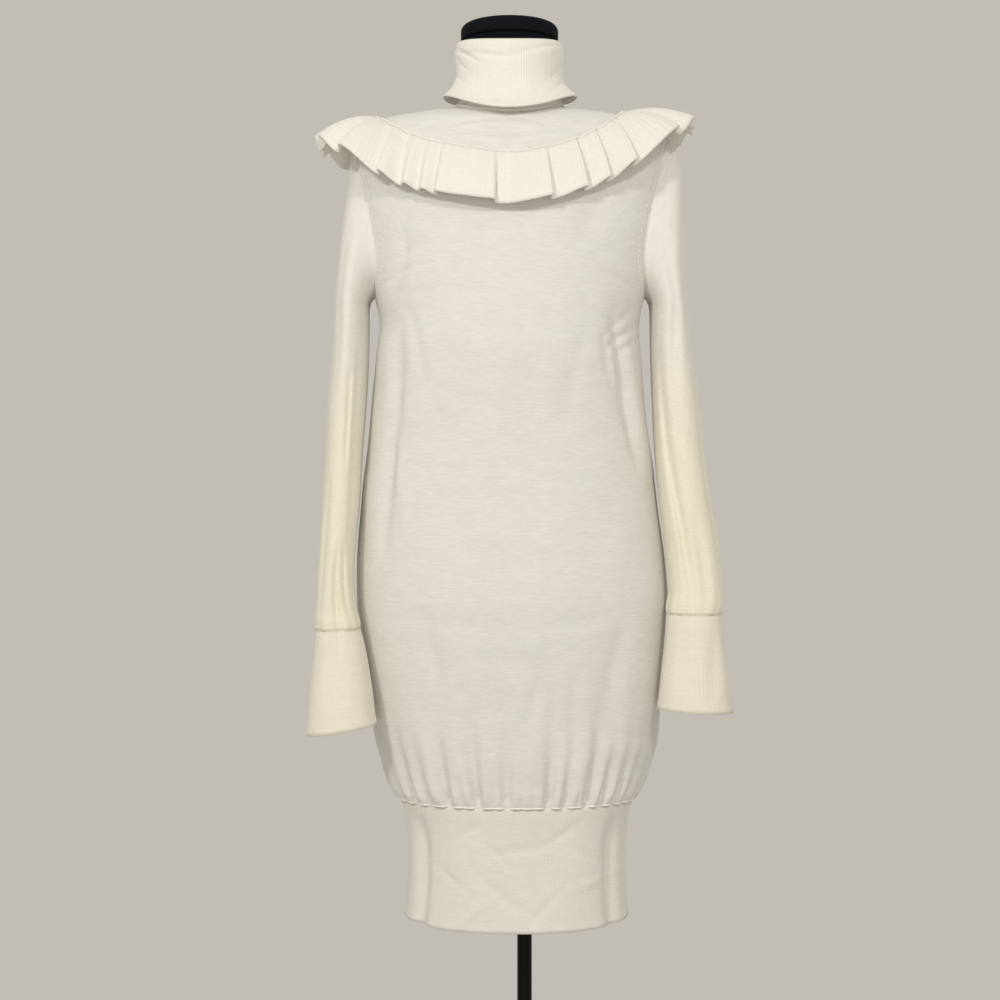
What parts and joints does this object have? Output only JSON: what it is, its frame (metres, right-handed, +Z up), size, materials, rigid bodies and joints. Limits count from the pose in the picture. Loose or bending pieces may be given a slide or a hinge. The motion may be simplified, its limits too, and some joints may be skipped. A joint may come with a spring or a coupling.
{
  "type": "sweater dress on a limbless dress form",
  "caption": "Knitted sweater dress with folded collar, yoke ruffle, long sleeves and ribbed hem band, worn by a limbless dress form on a pole and round base.",
  "frame": {"origin": "centre of the base plate's underside, on the pole's axis", "axes": "+Z up along the pole, -Y the way the front of the dress faces, +X the viewer's right"},
  "size_m": [0.453, 0.35, 1.49],
  "materials": {
    "body_knit": "fine matt jersey knit",
    "sleeve_knit": "fine matt jersey knit",
    "ribbing": "fine matt rib knit",
    "form_cloth": "smooth black stretch cover",
    "black_steel": "satin black paint"
  },
  "bodies": {
    "root": {"front_panel": "body_knit", "back_panel": "body_knit", "sleeve_left": "sleeve_knit", "sleeve_right": "sleeve_knit", "cuff_left": "ribbing", "cuff_right": "ribbing", "hem_band_front": "ribbing", "hem_band_back": "ribbing", "collar": "ribbing", "ruffle": "ribbing", "form_torso": "form_cloth", "neck_cap": "form_cloth", "pole": "black_steel", "base_plate": "black_steel"}
  },
  "joints": []
}
